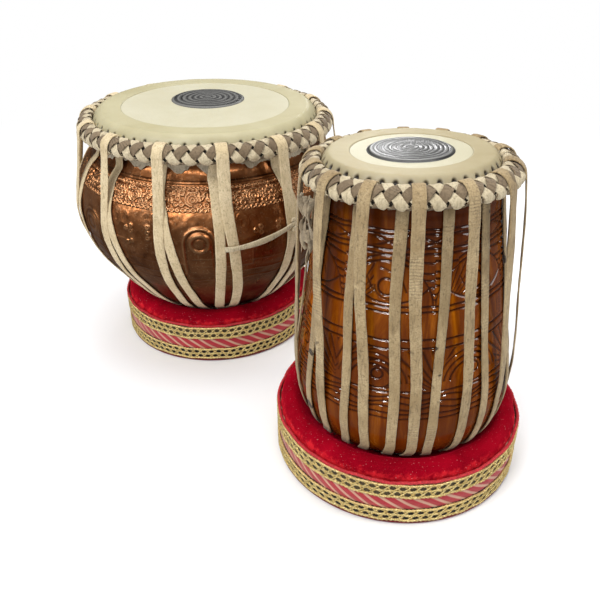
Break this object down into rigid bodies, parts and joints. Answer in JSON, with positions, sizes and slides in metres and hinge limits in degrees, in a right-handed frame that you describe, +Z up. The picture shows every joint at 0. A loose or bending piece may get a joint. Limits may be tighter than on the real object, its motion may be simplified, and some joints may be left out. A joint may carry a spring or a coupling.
{
  "type": "tabla set",
  "caption": "Pair of small hand drums, a copper bowl and a wooden barrel, with laced skin heads, each resting in a round velvet cushion.",
  "frame": {"origin": "on the floor, under the middle of the box round the whole set", "axes": "+Z up; -Y is the side a viewer looks from, with the bowl drum behind on the -X side and the barrel drum in front on the +X side"},
  "size_m": [0.4419, 0.4842, 0.2784],
  "materials": {
    "copper": "satin",
    "lacquered_wood": "gloss",
    "skin": "satin",
    "ring_skin": "satin",
    "tuning_paste": "satin",
    "rawhide": "matte",
    "plaited_hide": "matte",
    "red_velvet": "matte",
    "coral_piping": "matte",
    "gold_trim": "satin",
    "striped_satin": "satin",
    "cotton_stuffing": "matte",
    "base_cloth": "matte"
  },
  "bodies": {
    "bayan_cushion": {"bayan_cushion_cover": "red_velvet", "bayan_cushion_core": "cotton_stuffing", "bayan_cushion_stripe_band": "striped_satin", "bayan_cushion_top_trim": "gold_trim", "bayan_cushion_bottom_trim": "gold_trim", "bayan_cushion_piping": "coral_piping", "bayan_cushion_base": "base_cloth"},
    "bayan_ring": {"bayan_kundal": "rawhide"},
    "bayan_drum": {"bayan_shell": "copper", "bayan_under_skin": "ring_skin", "bayan_maidan": "skin", "bayan_kinar": "ring_skin", "bayan_syahi": "tuning_paste", "bayan_baddhi": "rawhide", "bayan_tie_strap": "rawhide"},
    "bayan_hoop": {"bayan_gajra": "plaited_hide"},
    "dayan_cushion": {"dayan_cushion_cover": "red_velvet", "dayan_cushion_core": "cotton_stuffing", "dayan_cushion_stripe_band": "striped_satin", "dayan_cushion_top_trim": "gold_trim", "dayan_cushion_bottom_trim": "gold_trim", "dayan_cushion_piping": "coral_piping", "dayan_cushion_base": "base_cloth"},
    "dayan_ring": {"dayan_kundal": "rawhide"},
    "dayan_drum": {"dayan_shell": "lacquered_wood", "dayan_under_skin": "ring_skin", "dayan_maidan": "skin", "dayan_kinar": "ring_skin", "dayan_syahi": "tuning_paste", "dayan_baddhi": "rawhide", "dayan_strap_tail": "rawhide"},
    "dayan_hoop": {"dayan_gajra": "plaited_hide"}
  },
  "joints": [
    {"name": "dayan_set_slide", "type": "slide", "parent": "bayan_cushion", "child": "dayan_cushion", "axis": [0.6275, -0.7786, 0], "range_m": [-0.01, 0.2]},
    {"name": "bayan_tilt", "type": "hinge", "parent": "bayan_cushion", "child": "bayan_ring", "pos_m": [-0.0743, 0.0976, 0.16], "axis": [1, 0, 0], "range_deg": [-12, 12]},
    {"name": "bayan_turn", "type": "hinge", "parent": "bayan_ring", "child": "bayan_drum", "pos_m": [-0.0743, 0.0976, 0.16], "axis": [0.0175, -0.014, 0.9998], "continuous": true},
    {"name": "bayan_tune", "type": "slide", "parent": "bayan_drum", "child": "bayan_hoop", "axis": [0.0175, -0.014, 0.9998], "range_m": [-0.004, 0.002], "deforming": ["bayan_baddhi"]},
    {"name": "dayan_tilt", "type": "hinge", "parent": "dayan_cushion", "child": "dayan_ring", "pos_m": [0.1109, -0.1322, 0.137], "axis": [1, 0, 0], "range_deg": [-12, 12]},
    {"name": "dayan_turn", "type": "hinge", "parent": "dayan_ring", "child": "dayan_drum", "pos_m": [0.1109, -0.1322, 0.137], "axis": [-0.0209, 0.0314, 0.9993], "continuous": true},
    {"name": "dayan_tune", "type": "slide", "parent": "dayan_drum", "child": "dayan_hoop", "axis": [-0.0209, 0.0314, 0.9993], "range_m": [-0.004, 0.002], "deforming": ["dayan_baddhi"]}
  ]
}
